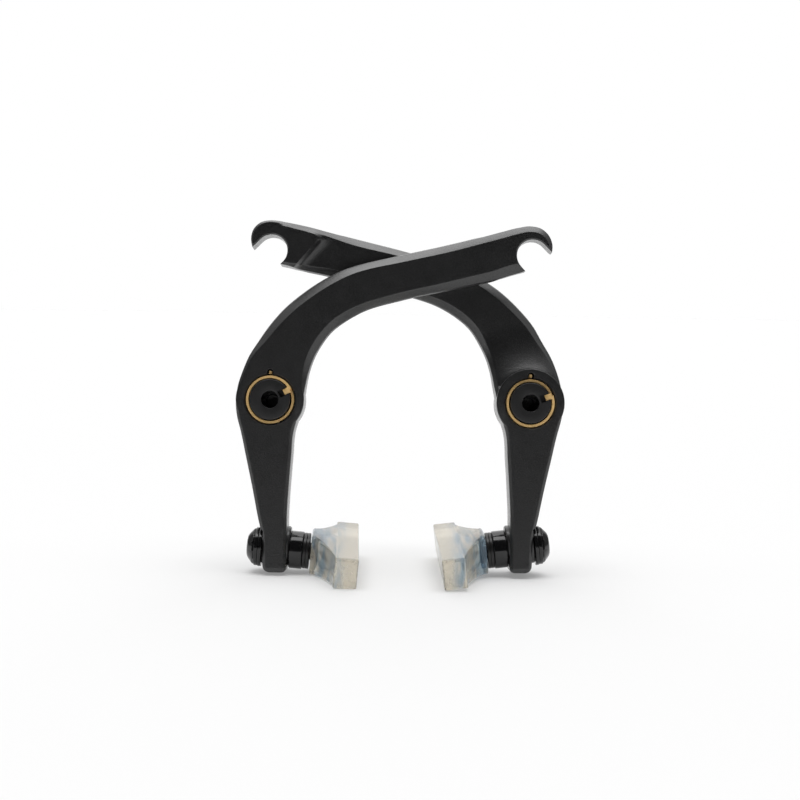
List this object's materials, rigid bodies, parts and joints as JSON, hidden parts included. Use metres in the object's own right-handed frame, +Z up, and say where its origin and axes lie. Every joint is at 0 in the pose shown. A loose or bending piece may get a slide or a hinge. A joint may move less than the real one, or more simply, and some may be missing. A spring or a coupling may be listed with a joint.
{
  "type": "rim brake caliper",
  "caption": "Crossed-arm U-brake for a bicycle rim: mirrored black arms on sprung hubs, cable-end hooks and clear pads on adjustable studs.",
  "frame": {"origin": "midpoint between the two pivot axes, in the plane of the hub faces that bolt to the bicycle frame", "axes": "+X to the right seen from the frame side, +Y away from the bicycle frame along the pivot axes, +Z up from the pads towards the cable hooks"},
  "size_m": [0.1136, 0.0564, 0.1266],
  "materials": {
    "arm_black": "matt powder coat",
    "hub_black": "satin black anodised",
    "spring_brass": "gold-coloured plated spring wire",
    "bronze": "plain bearing bronze",
    "steel": "zinc-plated steel",
    "gloss_black": "gloss black plated steel",
    "satin_black": "satin black steel",
    "clear_urethane": "cast translucent urethane"
  },
  "bodies": {
    "root": {"left_pivot_hub": "hub_black", "right_pivot_hub": "hub_black", "left_spring": "spring_brass", "right_spring": "spring_brass", "left_thrust_washer": "steel", "right_thrust_washer": "steel", "left_tension_nut": "gloss_black", "right_tension_nut": "gloss_black", "left_retaining_screw": "gloss_black", "right_retaining_screw": "gloss_black"},
    "left_arm": {"left_arm": "arm_black", "left_bushing": "bronze"},
    "left_pad_carrier": {"left_pad_spacer": "gloss_black", "left_inner_washers": "satin_black", "left_outer_washers": "gloss_black"},
    "left_pad": {"left_pad_stud": "steel", "left_cap_nut": "gloss_black", "left_brake_pad": "clear_urethane"},
    "right_arm": {"right_arm": "arm_black", "right_bushing": "bronze"},
    "right_pad_carrier": {"right_pad_spacer": "gloss_black", "right_inner_washers": "satin_black", "right_outer_washers": "gloss_black"},
    "right_pad": {"right_pad_stud": "steel", "right_cap_nut": "gloss_black", "right_brake_pad": "clear_urethane"}
  },
  "joints": [
    {"name": "left_arm_pivot", "type": "hinge", "parent": "root", "child": "left_arm", "pos_m": [-0.045, 0.00725, 0], "axis": [0, 1, 0], "range_deg": [-6.5, 8], "stiffness_Nm_per_rad": 1.5, "deforming": ["left_spring"]},
    {"name": "left_pad_height", "type": "slide", "parent": "left_arm", "child": "left_pad_carrier", "axis": [0.0785, 0, 0.9969], "range_m": [-0.0015, 0.002]},
    {"name": "left_pad_swivel", "type": "hinge", "parent": "left_pad_carrier", "child": "left_pad", "pos_m": [-0.03004, 0.00725, -0.05261], "axis": [0.9969, 0, -0.0785], "range_deg": [-15, 15]},
    {"name": "right_arm_pivot", "type": "hinge", "parent": "root", "child": "right_arm", "pos_m": [0.045, 0.00725, 0], "axis": [0, -1, 0], "range_deg": [-6.5, 8], "stiffness_Nm_per_rad": 1.5, "deforming": ["right_spring"]},
    {"name": "right_pad_height", "type": "slide", "parent": "right_arm", "child": "right_pad_carrier", "axis": [-0.1219, 0, 0.9925], "range_m": [-0.0015, 0.002]},
    {"name": "right_pad_swivel", "type": "hinge", "parent": "right_pad_carrier", "child": "right_pad", "pos_m": [0.0301, 0.00725, -0.05167], "axis": [0.9925, 0, 0.1219], "range_deg": [-15, 15]}
  ]
}
